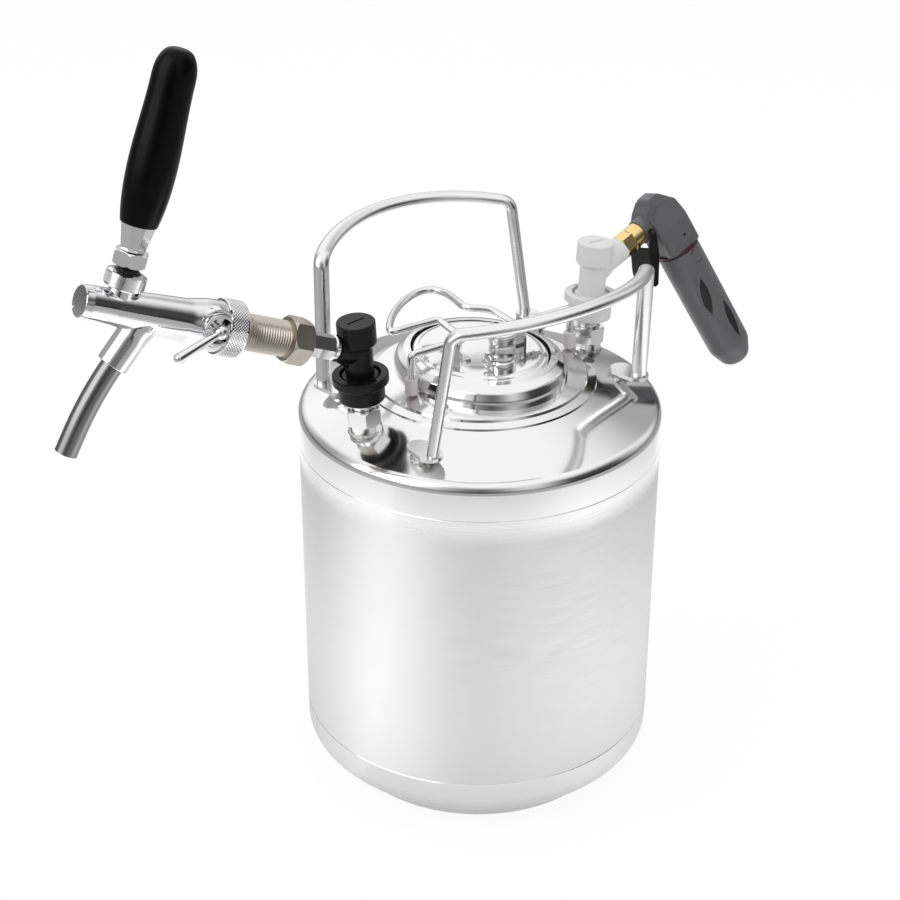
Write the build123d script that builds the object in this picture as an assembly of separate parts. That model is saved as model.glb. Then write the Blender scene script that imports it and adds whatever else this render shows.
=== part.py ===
from build123d import *
import math
import os

os.makedirs("parts", exist_ok=True)

# Mini keg with tap and gas charger. Millimetres, +Z up, origin at the middle of the foot ring's
# underside. The liquid post stands at -X, the gas post at +X, the handles at +Y and -Y.

# ---- shell -------------------------------------------------------------------------------------
KEG_RADIUS = 123.0
SHEET = 1.2
BOTTOM_SEAM = 43.3
TOP_SEAM = 250.0
SEAM_BEVEL = 0.35
SHOULDER_ROUND = 8.0
DOME_RISE = math.tan(math.radians(20.8))
STEP_RADIUS = 78.7
STEP_HEIGHT = 291.3
PLATEAU_FALL = 0.1356
RING_RADIUS = 100.4
RING_SHEET = 2.0
RING_BORE = 12.0
RING_CHAMFER = 1.0
KNUCKLE_ROUND = 14.5
HEAD_LOW = 12.0
HEAD_LOW_RADIUS = 88.0

# ---- hatch -------------------------------------------------------------------------------------
HATCH_TURN = -4.5
VALVE_SPOT = (-5.3, -30.9)
OVAL = 0.865
HATCH_RADIUS = 64.0
HATCH_SHEET = 1.6
LID_TOP = 313.0
LID_RADIUS = 50.6
VALVE_RADIUS = 9.5
VALVE_LIFT_GAP = 320.0
RING_EYE = 324.2
PULL_RING = 4.7

# ---- bail --------------------------------------------------------------------------------------
BAIL_WIRE = 2.5
BAIL_PIVOT_Y = -7.0
BAIL_PIVOT_Z = 327.0
BAIL_FOOT_RADIUS = 4.25
LEFT_FOOT = (-60.5, 298.6)
RIGHT_FOOT = (70.5, 297.2)
LUG_X = (-24.5, 28.5)

# ---- handles -----------------------------------------------------------------------------------
BAR_WIDE = 5.2
BAR_THIN = 3.9
GRIP_BOW = 106.7
GRIP_RADIUS = 115.2
GRIP_HALF_ANGLE = 41.5
GRIP_TILT = 11.8
BAR_TOP = 380.7
CORNER_ROUND = 8.5
REAR_SHIFT = 6.5
FRONT_SHIFT = -3.0
LEG_FOOT = (90.0, 63.5)
TAB_TOP = 290.3
TAB_SHEET = 2.6
TAB_RADIUS = 8.0
STUD_SPOT = (88.5, 49.5)
STUD_RADIUS = 5.5

# ---- posts and disconnects (heights along the post from the dome) -------------------------------
POST_RADIUS = 97.6
POST_FOOT = 284.0
POST_TILT = math.radians(4.16)
BOSS_RADIUS = 10.0
BOSS_TOP = 6.0
STUB_RADIUS = 7.4
STUB_TOP = 14.0
POST_FLATS = 20.6
POST_TOP = 40.0
POST_BARREL = 8.5
BALL_HEIGHT = 26.8
BALL_RADIUS = 2.2
BALL_CIRCLE = 9.55
BALL_COUNT = 5
DIP_RADIUS = 3.95
DIP_BORE = 3.3
BARREL_RADIUS = 11.5
NECK_RADIUS = 9.3
CAP_RADIUS = 12.5
OUTLET_HEIGHT = 56.8
OUTLET_RADIUS = 8.5
LIQUID_OUTLET = 17.0
GAS_OUTLET = 27.7
CHANNEL = 3.0

# ---- tap (distances along the tap from the post, heights across it) ------------------------------
TAP_AZIMUTH = math.radians(170.84)
TAP_ELEVATION = math.radians(22.88)
SHANK_RADIUS = 11.5
THREAD_PITCH = 1.814
HEX_PLACE = 41.0
HEX_LENGTH = 14.0
NUT_PLACE = 89.5
NUT_LENGTH = 14.0
NUT_RADIUS = 17.6
NUT_RECESS = 16.1
BODY_BACK = 99.5
SEAT_PLACE = 136.0
SPOOL_BORE = 5.5
CHAMBER = 9.0
PLUG_PLACE = 190.0
BODY_FRONT = 195.0
BONNET_PLACE = 171.3
PIVOT_HEIGHT = 18.0
LEVER_LEAN = math.radians(4.43)
BALL_SEAL_RADIUS = 9.2
FINGER_LENGTH = 18.0
GRIP_START = 34.1
GRIP_END = 137.6
SPOUT_LEAN = math.radians(18.5)
SPOUT_OUTER = 7.0
SPOUT_INNER = 6.0
FLOW_PLACE = 110.0
FLOW_HEIGHT = 2.0
CUP_EDGE = 16.5
FLOW_DIRECTION = math.radians(-33.5)
FLOW_FLARE = math.radians(15.7)
KNOB_HEIGHT = 18.0
CRANK = 3.0

# ---- charger (its own frame: x away from the post, z up the cartridge) ----------------------------
GAS_ELEVATION = math.radians(22.9)
CHARGER_PLACE = 64.5
CHARGER_ROLL = math.radians(18.9)
SLEEVE_X = 3.0
SLEEVE_RADIUS = 15.6
SLEEVE_TOP = -29.5
SLEEVE_END = -128.0
CARTRIDGE_RADIUS = 11.0
TRIGGER_PIVOT = (-14.6, -1.5)
TRIGGER_SPAN = 9.8
TRIGGER_SHEET = 1.4


# ---- small tools ---------------------------------------------------------------------------------
def outline(corners):
    """Closed wire in the XZ plane; each corner is (x, z) or (x, z, rounding)."""
    points = [Vector(corner[0], 0, corner[1]) for corner in corners]
    rounds = [corner[2] if len(corner) > 2 else 0 for corner in corners]
    count = len(points)
    spans = []
    for index in range(count):
        corner = points[index]
        if rounds[index] == 0:
            spans.append((corner, None, corner))
            continue
        spans.append(rounded_corner(points[index - 1], corner, points[(index + 1) % count], rounds[index]))
    edges = []
    for index in range(count):
        first, middle, last = spans[index]
        if middle is not None:
            edges.append(ThreePointArc(first, middle, last))
        follower = spans[(index + 1) % count][0]
        if (follower - last).length > 1e-5:
            edges.append(Line(last, follower))
    return edges


def rounded_corner(before, corner, after, rounding):
    """Start, middle and end of the arc that rounds one corner."""
    back = (before - corner).normalized()
    ahead = (after - corner).normalized()
    half_angle = math.radians(back.get_angle(ahead)) / 2
    reach = rounding / math.tan(half_angle)
    centre = corner + (back + ahead).normalized() * (rounding / math.sin(half_angle))
    middle = centre + (corner - centre).normalized() * rounding
    return corner + back * reach, middle, corner + ahead * reach


def turned(corners):
    """Solid of revolution about Z from (radius, height) corners."""
    return revolve(make_face(outline(corners)), axis=Axis.Z)


def disc(radius, low, high):
    return Pos(0, 0, low) * Cylinder(radius, high - low, align=(Align.CENTER, Align.CENTER, Align.MIN))


def plate(corners, half_width):
    """Flat piece with an XZ outline, half_width to both sides."""
    return extrude(make_face(outline(corners)), amount=half_width, both=True)


def hexagon(flats, low, high, bevel):
    """Hexagonal bar with bevelled ends."""
    half = flats / 2
    corner = half / math.cos(math.radians(30)) + 0.01
    side = RegularPolygon(radius=half, side_count=6, major_radius=False)
    bar = Pos(0, 0, low) * extrude(side, amount=high - low)
    rim = corner - bevel
    return bar & turned([
        (0, low),
        (rim, low),
        (corner, low + bevel),
        (corner, high - bevel),
        (rim, high),
        (0, high),
    ])


def bent_path(corners, bends):
    """Edges of a line through the corners, rounded at every inner corner."""
    points = [Vector(*corner) for corner in corners]
    edges = []
    start = points[0]
    for index, bend in enumerate(bends):
        first, middle, last = rounded_corner(points[index], points[index + 1], points[index + 2], bend)
        edges.append(Line(start, first))
        edges.append(ThreePointArc(first, middle, last))
        start = last
    edges.append(Line(start, points[-1]))
    return edges


def rod_along(corners, bends, radius):
    """Round bar bent along the corners."""
    edges = bent_path(corners, bends)
    start = Vector(*corners[0])
    heading = Vector(*corners[1]) - start
    section = Plane(origin=start, z_dir=heading) * Circle(radius)
    return sweep(section, path=Wire(edges))


def upright(origin, x_dir, z_dir):
    return Plane(origin=origin, x_dir=x_dir, z_dir=z_dir)


def across_plane(frame):
    """Same frame with Z turned onto the frame's X, for parts turned along X."""
    return Plane(origin=frame.origin, x_dir=frame.y_dir, z_dir=frame.x_dir)


def spot(frame, x, y, z):
    return frame.from_local_coords(Vector(x, y, z))


# ---- frames --------------------------------------------------------------------------------------
def post_frame(side):
    """Z runs up the tilted post axis; X points away from the keg axis."""
    lean = Vector(side * math.sin(POST_TILT), 0, math.cos(POST_TILT))
    outward = Vector(side * math.cos(POST_TILT), 0, -math.sin(POST_TILT))
    return upright(Vector(side * POST_RADIUS, 0, POST_FOOT), outward, lean)


def outlet_frame(side, azimuth, elevation):
    """X runs out of the disconnect's outlet, Z is square to it and upward."""
    heading = Vector(
        math.cos(elevation) * math.cos(azimuth),
        math.cos(elevation) * math.sin(azimuth),
        math.sin(elevation),
    )
    rise = Vector(
        -math.sin(elevation) * math.cos(azimuth),
        -math.sin(elevation) * math.sin(azimuth),
        math.cos(elevation),
    )
    start = spot(post_frame(side), 0, 0, OUTLET_HEIGHT)
    return upright(start, heading, rise)


HATCH = Plane(origin=(0, 0, 0), x_dir=Vector(1, 0, 0).rotate(Axis.Z, HATCH_TURN), z_dir=(0, 0, 1))
VALVE = HATCH * Pos(VALVE_SPOT[0], VALVE_SPOT[1], 0)
LIQUID = post_frame(-1)
GAS = post_frame(1)
TAP = outlet_frame(-1, TAP_AZIMUTH, TAP_ELEVATION)
FEED = outlet_frame(1, 0.0, GAS_ELEVATION)
TAP_LINE = across_plane(TAP)
FEED_LINE = across_plane(FEED)
LEVER = upright(
    spot(TAP, BONNET_PLACE, 0, PIVOT_HEIGHT),
    TAP.x_dir * math.cos(LEVER_LEAN) - TAP.z_dir * math.sin(LEVER_LEAN),
    TAP.z_dir * math.cos(LEVER_LEAN) + TAP.x_dir * math.sin(LEVER_LEAN),
)
CHARGER = upright(
    spot(FEED, CHARGER_PLACE, 0, 0),
    FEED.x_dir,
    FEED.z_dir * math.cos(CHARGER_ROLL) + FEED.y_dir * math.sin(CHARGER_ROLL),
)


# ---- shell ---------------------------------------------------------------------------------------
def dome_height(radius):
    """Height of the dome's outer skin on its straight slope."""
    return STEP_HEIGHT + (STEP_RADIUS - radius) * DOME_RISE


def plateau_height(radius):
    return 297.5 + (60.0 - radius) * PLATEAU_FALL


def dome_skin(inset, low, inner):
    """Corners of the dome's skin from the seam to the plateau, moved inward by inset."""
    drop = inset / math.cos(math.radians(20.8))
    wall = KEG_RADIUS - inset
    return [
        (wall, low),
        (wall, dome_height(wall) - drop, SHOULDER_ROUND - inset),
        (STEP_RADIUS - inset * 0.8, STEP_HEIGHT + inset * 0.8 * DOME_RISE - drop),
        (STEP_RADIUS - 0.5 - inset * 0.8, 292.6 - inset),
        (72.6 - inset * 0.5, 294.3 - inset),
        (71.8 - inset * 0.5, plateau_height(71.8) - inset),
        (inner, plateau_height(inner) - inset),
    ]


def dome_solid():
    skin = dome_skin(0, TOP_SEAM, 40.0)
    return turned(skin + [(0, 300.2), (0, TOP_SEAM)])


def oval(solid):
    """Squeezes a turned part along X into the hatch's oval."""
    return scale(solid, by=(OVAL, 1, 1))


def top_dome():
    """Pressed top with its shoulder, steps, hatch opening and the two welded post bosses."""
    outer = dome_skin(0, TOP_SEAM + SEAM_BEVEL, 40.0)
    inner = dome_skin(SHEET, TOP_SEAM, 40.0)
    lip = [(KEG_RADIUS - SEAM_BEVEL, TOP_SEAM)]
    dome = turned(lip + outer + list(reversed(inner)))
    dome -= HATCH * oval(disc(HATCH_RADIUS, 285, 310))
    for frame in (LIQUID, GAS):
        dome += frame * disc(BOSS_RADIUS, -3, BOSS_TOP)
        dome += frame * disc(STUB_RADIUS, BOSS_TOP - 1, STUB_TOP)
        dome -= frame * disc(DIP_RADIUS + 0.1, -6, STUB_TOP + 1)
    return dome


def keg_wall():
    """Straight rolled wall between the two seams."""
    inner = KEG_RADIUS - SHEET
    return turned([
        (inner, BOTTOM_SEAM),
        (KEG_RADIUS - SEAM_BEVEL, BOTTOM_SEAM),
        (KEG_RADIUS, BOTTOM_SEAM + SEAM_BEVEL),
        (KEG_RADIUS, TOP_SEAM - SEAM_BEVEL),
        (KEG_RADIUS - SEAM_BEVEL, TOP_SEAM),
        (inner, TOP_SEAM),
    ])


def bottom_rise(radius):
    """Height of the bottom head's outer skin between its knuckle and its low ring."""
    return HEAD_LOW + (radius - HEAD_LOW_RADIUS) * 0.1286


def bottom_head():
    """Pressed bottom, dished upward in the middle."""
    inner_wall = KEG_RADIUS - SHEET
    return turned([
        (0, 24.0),
        (60.0, 20.0, 60.0),
        (HEAD_LOW_RADIUS, HEAD_LOW, 25.0),
        (KEG_RADIUS, bottom_rise(KEG_RADIUS), KNUCKLE_ROUND),
        (KEG_RADIUS, BOTTOM_SEAM - SEAM_BEVEL),
        (KEG_RADIUS - SEAM_BEVEL, BOTTOM_SEAM),
        (inner_wall, BOTTOM_SEAM),
        (inner_wall, bottom_rise(inner_wall) + SHEET, KNUCKLE_ROUND - SHEET),
        (HEAD_LOW_RADIUS, HEAD_LOW + SHEET, 25.0),
        (60.0, 20.0 + SHEET, 60.0),
        (0, 24.0 + SHEET),
    ])


def foot_ring():
    """Ring the keg stands on, welded under the bottom head."""
    inner = RING_RADIUS - RING_SHEET
    weld_edge = inner + RING_CHAMFER
    return turned([
        (inner, 0),
        (RING_RADIUS - 0.6, 0),
        (RING_RADIUS, 0.6),
        (RING_RADIUS, bottom_rise(RING_RADIUS)),
        (weld_edge, bottom_rise(weld_edge)),
        (inner, RING_BORE),
    ])


# ---- hatch ---------------------------------------------------------------------------------------
def hatch_collar():
    """Oval neck of the hatch with its rolled-in mouth."""
    inner = HATCH_RADIUS - HATCH_SHEET
    return HATCH * oval(turned([
        (HATCH_RADIUS, 294.5),
        (HATCH_RADIUS, 302.5, 6.0),
        (61.6, 308.0, 3.5),
        (56.0, 311.4, 5.0),
        (51.5, 312.5),
        (51.5, 310.9),
        (55.6, 309.8, 3.5),
        (60.2, 307.0, 2.0),
        (inner, 302.3, 4.5),
        (inner, 294.5),
    ]))


def lid():
    """Oval lid that seals from inside: raised middle, wall and flange under the mouth."""
    shell = oval(turned([
        (0, LID_TOP),
        (44.0, LID_TOP, 4.0),
        (46.5, LID_TOP - 1.2, 3.0),
        (LID_RADIUS, LID_TOP - 1.6, 3.0),
        (LID_RADIUS, 304.5),
        (58.0, 304.5),
        (58.0, 302.5),
        (LID_RADIUS - 2.0, 302.5),
        (LID_RADIUS - 2.0, LID_TOP - 3.6, 1.5),
        (0, LID_TOP - 2.0),
    ]))
    shell -= Pos(VALVE_SPOT[0], VALVE_SPOT[1], 0) * disc(7.0, 300, 320)
    return HATCH * shell


def lid_gasket():
    """Rubber ring between the lid's flange and the mouth."""
    return HATCH * oval(turned([
        (52.3, 304.5, 1.0),
        (56.7, 304.5, 1.6),
        (56.7, 308.8, 1.6),
        (52.3, 309.6, 1.6),
    ]))


def lid_lug(x, foot_side):
    """Bent bracket with the eye the bail turns in."""
    foot = Pos(x + foot_side * 3.6, BAIL_PIVOT_Y, LID_TOP + 0.8) * Box(9, 10, 1.6)
    eye = plate([(-5, LID_TOP + 1), (5, LID_TOP + 1), (5, 331, 3.5), (-5, 331, 3.5)], 0.9)
    wall = Pos(x, BAIL_PIVOT_Y, 0) * (Rot(0, 0, 90) * eye)
    hole = Pos(x, BAIL_PIVOT_Y, BAIL_PIVOT_Z) * (Rot(0, 90, 0) * Cylinder(BAIL_WIRE + 0.3, 6))
    return foot + wall - hole


def lid_lugs():
    left_x, right_x = LUG_X
    return Compound(children=[HATCH * lid_lug(left_x, 1), HATCH * lid_lug(right_x, -1)])


def relief_valve_body():
    """Fixed lower half of the relief valve, screwed through the lid."""
    body = turned([
        (0, 304.0),
        (6.9, 304.0),
        (6.9, LID_TOP),
        (VALVE_RADIUS, LID_TOP),
        (VALVE_RADIUS, 318.2, 0.8),
        (8.3, 319.6),
        (0, 319.6),
    ])
    body -= disc(5.6, 308.0, 317.4)
    body -= disc(2.0, 300.0, 309.0)
    return VALVE * (body - disc(1.7, 316.0, 321.0))


def relief_valve_stem():
    """Pull cap, its stem and the disc that closes the seat."""
    cap = turned([
        (0, VALVE_LIFT_GAP),
        (8.6, VALVE_LIFT_GAP),
        (VALVE_RADIUS, VALVE_LIFT_GAP + 1.2, 0.5),
        (VALVE_RADIUS, 323.5, 1.5),
        (7.6, 328.0, 14.0),
        (10.0, 337.0, 2.0),
        (10.0, 339.0, 0.8),
        (8.6, 339.0),
        (8.0, 337.6),
        (0, 337.6),
    ])
    stem = disc(1.5, 309.0, VALVE_LIFT_GAP + 1)
    eye = Pos(-VALVE_RADIUS - 1.2, 0, RING_EYE) * Box(4.0, 2.4, 4.0)
    eye -= Pos(-VALVE_RADIUS - 1.6, 0, RING_EYE) * (Rot(90, 0, 0) * Cylinder(1.15, 6))
    return VALVE * (cap + eye + stem + disc(5.0, 308.1, 310.0))


def relief_pull_ring():
    """Wire ring hanging in the pull cap's side eye."""
    ring = Torus(PULL_RING, 0.8)
    return VALVE * (Pos(-VALVE_RADIUS - 1.6, 0, RING_EYE - PULL_RING) * (Rot(0, 90, 0) * ring))


def coil(radius, wire, low, high, turns):
    """Compression spring with its axis along Z."""
    pitch = (high - low - 2 * wire) / turns
    path = Pos(0, 0, low + wire) * Helix(pitch=pitch, height=high - low - 2 * wire, radius=radius)
    start = path @ 0
    section = Plane(origin=start, z_dir=path % 0) * RegularPolygon(radius=wire, side_count=6)
    return sweep(section, path=path, is_frenet=True)


# ---- bail ----------------------------------------------------------------------------------------
def bail_wire():
    """One wire: two feet legs, the pivots in the lugs and the lifting loop."""
    y = BAIL_PIVOT_Y
    z = BAIL_PIVOT_Z
    left = LEFT_FOOT[0]
    right = RIGHT_FOOT[0]
    corners = [
        (left, y, LEFT_FOOT[1] + 3.0),
        (left, y, z),
        (-18.0, y, z),
        (-20.5, 18.5, 332.0),
        (-58.5, 17.0, 334.0),
        (-38.0, 45.0, 335.0),
        (-14.0, 54.5, 335.0),
        (-1.0, 54.5, 335.0),
        (0.0, 21.5, 335.0),
        (14.0, 8.0, 334.5),
        (22.5, y, z),
        (right, y, z),
        (right, y, RIGHT_FOOT[1] + 3.0),
    ]
    bends = [8.0, 5.0, 6.0, 4.0, 26.0, 10.0, 5.0, 9.0, 7.0, 5.0, 8.0]
    wire = rod_along(corners, bends, BAIL_WIRE)
    sleeve = Pos(38.0, y, z) * (Rot(0, 90, 0) * Cylinder(BAIL_WIRE + 0.9, 7.0))
    return HATCH * (wire + sleeve)


def bail_foot(x, low):
    cap = turned([
        (0, low),
        (BAIL_FOOT_RADIUS, low, 1.5),
        (BAIL_FOOT_RADIUS, low + 12.0, 0.8),
        (0, low + 12.0),
    ])
    cap -= disc(BAIL_WIRE, low + 3.0, low + 20.0)
    return HATCH * (Pos(x, BAIL_PIVOT_Y, 0) * cap)


def bail_feet():
    return Compound(children=[bail_foot(*LEFT_FOOT), bail_foot(*RIGHT_FOOT)])


# ---- handles -------------------------------------------------------------------------------------
def handle_path():
    """Middle line of the handle bar: leg, corner, bowed grip, corner, leg."""
    angle = math.radians(GRIP_HALF_ANGLE)
    tilt = math.radians(GRIP_TILT)
    inward = Vector(0, -math.cos(tilt), -math.sin(tilt))
    top = Vector(0, GRIP_BOW, BAR_TOP)
    legs = []
    for side in (-1, 1):
        across = Vector(side, 0, 0)
        along = across * (GRIP_RADIUS * math.sin(angle))
        grip_end = top + along + inward * (GRIP_RADIUS * (1 - math.cos(angle)))
        outward = across * math.cos(angle) + inward * math.sin(angle)
        corner = grip_end + outward * CORNER_ROUND
        foot = Vector(side * LEG_FOOT[0], LEG_FOOT[1], TAB_TOP - TAB_SHEET / 2)
        first, middle, last = rounded_corner(grip_end - outward, corner, foot, CORNER_ROUND)
        legs.append((foot, first, middle, last))
    left, right = legs
    return [
        Line(left[0], left[3]),
        ThreePointArc(left[3], left[2], left[1]),
        ThreePointArc(left[1], top, right[1]),
        ThreePointArc(right[1], right[2], right[3]),
        Line(right[3], right[0]),
    ]


def handle():
    """Carrying handle at +Y: flattened bar on two flat tabs."""
    edges = handle_path()
    start = edges[0] @ 0
    heading = edges[0] % 0
    grip_side = Vector(0, -1, 0)
    wide = (grip_side - heading * grip_side.dot(heading)).normalized()
    lean = math.radians(GRIP_HALF_ANGLE)
    wide = wide * math.cos(lean) + heading.cross(wide) * math.sin(lean)
    section = Plane(origin=start, x_dir=wide, z_dir=heading) * Ellipse(BAR_WIDE, BAR_THIN)
    bar = sweep(section, path=Wire(edges))
    for side in (-1, 1):
        bar += handle_tab(side)
    return bar


def handle_tab(side):
    inner = Pos(side * STUD_SPOT[0], STUD_SPOT[1] - 1, TAB_TOP - TAB_SHEET / 2)
    outer = Pos(side * LEG_FOOT[0], LEG_FOOT[1] - 2.0, TAB_TOP - TAB_SHEET / 2)
    round_end = Cylinder(TAB_RADIUS, TAB_SHEET)
    length = 14.2
    middle_x = side * (STUD_SPOT[0] + LEG_FOOT[0]) / 2
    middle_y = (STUD_SPOT[1] + LEG_FOOT[1] - 3.0) / 2
    turn = math.degrees(math.atan2(LEG_FOOT[0] - STUD_SPOT[0], 13.0))
    bridge = Rot(0, 0, -side * turn) * Box(2 * TAB_RADIUS, length, TAB_SHEET)
    return inner * round_end + outer * round_end + Pos(middle_x, middle_y, TAB_TOP - TAB_SHEET / 2) * bridge


def handle_studs():
    """Four welded studs between the dome and the handle tabs."""
    dome = dome_solid()
    studs = []
    for across in (-1, 1):
        for side, shift in ((-1, FRONT_SHIFT), (1, REAR_SHIFT)):
            x = across * STUD_SPOT[0] + shift
            stud = Pos(x, side * STUD_SPOT[1], 0) * disc(STUD_RADIUS, 274.0, TAB_TOP - TAB_SHEET)
            studs.append((stud - dome).solids()[0])
    return Compound(children=studs)


# ---- posts ---------------------------------------------------------------------------------------
def post():
    """Ball-lock post: hexagon, ball groove and seal groove around a poppet chamber."""
    barrel = turned([
        (0, 12.0),
        (POST_BARREL, 12.0),
        (POST_BARREL, 17.5),
        (7.7, 18.0),
        (7.7, 20.0),
        (POST_BARREL, 20.8),
        (POST_BARREL, 23.8),
        (7.25, 25.0),
        (7.25, 28.6),
        (POST_BARREL, 29.8),
        (POST_BARREL, 32.0),
        (7.0, 32.0),
        (7.0, 34.0),
        (POST_BARREL, 34.0),
        (POST_BARREL, POST_TOP, 1.0),
        (0, POST_TOP),
    ])
    body = hexagon(POST_FLATS, BOSS_TOP, 17.5, 1.2) + barrel
    body -= disc(STUB_RADIUS, 0, STUB_TOP + 0.2)
    body -= disc(5.5, STUB_TOP, 36.5)
    return body - disc(3.0, 36.0, 41.0)


def post_seals():
    """Rubber ring on each post."""
    ring = turned([(7.0, 32.1), (8.55, 32.1, 0.6), (8.55, 33.9, 0.6), (7.0, 33.9)])
    return Compound(children=[LIQUID * ring, GAS * ring])


def dip_tube(depth):
    """Tube hung in the post boss by its flange."""
    tube = turned([
        (DIP_BORE, depth),
        (DIP_RADIUS, depth),
        (DIP_RADIUS, STUB_TOP),
        (5.4, STUB_TOP),
        (5.4, STUB_TOP + 1.0),
        (DIP_BORE, STUB_TOP + 1.0),
    ])
    return tube


def poppet():
    """Spring-loaded valve of a post: stem, seal disc and guide."""
    body = turned([
        (0, 20.0),
        (3.4, 20.0),
        (3.4, 27.5),
        (5.4, 27.5),
        (5.4, 29.0),
        (3.0, 30.0),
        (3.0, 31.5),
        (4.7, 32.0),
        (4.7, 33.0),
        (2.4, 34.6),
        (2.4, 36.8),
        (0, 36.8),
    ])
    for turn in range(3):
        body -= Rot(0, 0, turn * 120) * (Pos(4.9, 0, 28.2) * Cylinder(1.1, 4))
    return body


# ---- quick disconnects ---------------------------------------------------------------------------
def disconnect_body(frame, outlet, length):
    """Body of a ball-lock disconnect: barrel, neck, side outlet and gusset."""
    core = disc(BARREL_RADIUS, 23.5, 41.0) + disc(NECK_RADIUS, 40.0, 63.0)
    core += turned([
        (0, 62.0),
        (10.6, 62.0),
        (CAP_RADIUS, 64.4),
        (CAP_RADIUS, 75.2),
        (CAP_RADIUS - 0.4, 75.6),
        (0, 75.6),
    ])
    core = frame * core
    core += across_plane(outlet) * disc(OUTLET_RADIUS, 0, length)
    up = frame.z_dir
    side = (outlet.x_dir - up * outlet.x_dir.dot(up)).normalized()
    rib_frame = Plane(origin=frame.origin, x_dir=side, z_dir=up)
    rise = outlet.x_dir.dot(up)
    run = outlet.x_dir.dot(side)
    edge = length - 1.5
    rib = plate([
        (5.0, 48.5),
        (NECK_RADIUS + 0.4, 48.5),
        (edge * run + rise * 8.0, OUTLET_HEIGHT + edge * rise - run * 8.0),
        (edge * run, OUTLET_HEIGHT + edge * rise),
        (5.0, OUTLET_HEIGHT + 2.0),
    ], 1.9)
    core += rib_frame * rib
    core -= frame * disc(POST_BARREL + 0.1, 20.0, 40.5)
    core -= frame * disc(3.4, 40.0, 51.0)
    core -= frame * disc(6.0, 50.0, 68.0)
    core -= frame * disc(8.0, 67.0, 76.0)
    core -= across_plane(outlet) * disc(9.0, length, length + 20.0)
    core += across_plane(outlet) * disc(5.4, length - 1, length + 9.0)
    core -= across_plane(outlet) * disc(CHANNEL, 3.0, length + 10.0)
    for turn in range(BALL_COUNT):
        drilled = Pos(9.9, 0, BALL_HEIGHT) * (Rot(0, 90, 0) * Cylinder(BALL_RADIUS + 0.05, 4.6))
        hole = Rot(0, 0, turn * 360 / BALL_COUNT) * drilled
        core -= frame * hole
    return core


def disconnect_cap():
    """Screw plug on top of the head with its driver slot."""
    cap = turned([
        (0, 69.0),
        (7.9, 69.0),
        (7.9, 75.6),
        (CAP_RADIUS - 0.4, 75.6),
        (CAP_RADIUS, 76.0),
        (CAP_RADIUS, 79.0, 0.9),
        (0, 79.0),
    ])
    return cap - Pos(0, 0, 78.6) * Box(13.0, 1.6, 2.2)


def disconnect_collar():
    """Sliding collar that frees the balls; wide flange for the fingers."""
    collar = turned([
        (BARREL_RADIUS + 0.3, 24.0),
        (15.0, 24.0, 0.8),
        (15.0, 33.2),
        (18.3, 36.3, 0.6),
        (18.3, 42.0, 1.0),
        (13.4, 42.0),
        (13.4, 37.0),
        (BARREL_RADIUS + 0.3, 37.0),
    ])
    for side in (-1, 1):
        collar -= Pos(0, side * 14.4, 40.6) * Box(3.2, 3.4, 4.0)
    return collar


def locking_balls():
    balls = []
    for turn in range(BALL_COUNT):
        ball = Pos(BALL_CIRCLE, 0, BALL_HEIGHT) * Sphere(BALL_RADIUS)
        balls.append(Rot(0, 0, turn * 360 / BALL_COUNT) * ball)
    return Compound(children=balls)


def disconnect_pin():
    """Valve pin that holds the post's poppet open."""
    pin = turned([
        (0, 37.1),
        (1.6, 37.1),
        (1.6, 50.0),
        (5.8, 50.0),
        (5.8, 51.6),
        (2.0, 51.6),
        (2.0, 54.0),
        (0, 54.0),
    ])
    for turn in range(4):
        pin -= Rot(0, 0, 45 + turn * 90) * (Pos(3.6, 0, 51.0) * Cylinder(0.9, 6))
    return pin


# ---- tap -----------------------------------------------------------------------------------------
def swivel_nut():
    """Steel nut between the liquid disconnect and the shank."""
    nut = turned([(0, 17.2), (7.4, 17.2), (8.2, 18.2), (8.2, 20.2), (7.4, 21.2), (0, 21.2)])
    nut += hexagon(14.3, 21.0, HEX_PLACE, 0.9)
    nut -= disc(5.6, 17.0, 37.0)
    return TAP_LINE * (nut - disc(4.4, 36.0, 42.0))


def tap_shank():
    """Hexagon and threaded tube the tap is screwed to."""
    front = HEX_PLACE + HEX_LENGTH
    neck = SHANK_RADIUS - 1.2
    corners = [(CHANNEL, 27.0), (4.2, 27.0), (4.2, HEX_PLACE), (neck, HEX_PLACE), (neck, front)]
    place = front + 1.0
    while place + THREAD_PITCH < BODY_BACK - 2.0:
        corners.append((SHANK_RADIUS - 1.0, place))
        corners.append((SHANK_RADIUS, place + THREAD_PITCH / 2))
        place += THREAD_PITCH
    corners.append((SHANK_RADIUS - 1.0, BODY_BACK - 1.0))
    corners.append((SHANK_RADIUS - 1.0, BODY_BACK))
    corners.append((CHANNEL, BODY_BACK))
    tube = turned(corners)
    return TAP_LINE * (tube + (hexagon(27.0, HEX_PLACE, front, 1.8) - disc(CHANNEL, 30.0, 60.0)))


def coupling_nut():
    """Ring nut that pulls the faucet onto the shank; spanner holes in its rim."""
    nut = turned([
        (SHANK_RADIUS + 0.1, NUT_PLACE),
        (NUT_RADIUS - 1.4, NUT_PLACE),
        (NUT_RADIUS, NUT_PLACE + 1.4),
        (NUT_RADIUS, NUT_PLACE + NUT_LENGTH - 0.6),
        (NUT_RADIUS - 0.6, NUT_PLACE + NUT_LENGTH),
        (NUT_RECESS, NUT_PLACE + NUT_LENGTH),
        (NUT_RECESS, BODY_BACK),
        (SHANK_RADIUS + 0.1, BODY_BACK),
    ])
    for turn in range(4):
        drilled = Pos(17.0, 0, NUT_PLACE + 6.0) * (Rot(0, 90, 0) * Cylinder(1.9, 5.0))
        hole = Rot(0, 0, turn * 90 + 10) * drilled
        nut -= hole
    return TAP_LINE * nut


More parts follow.
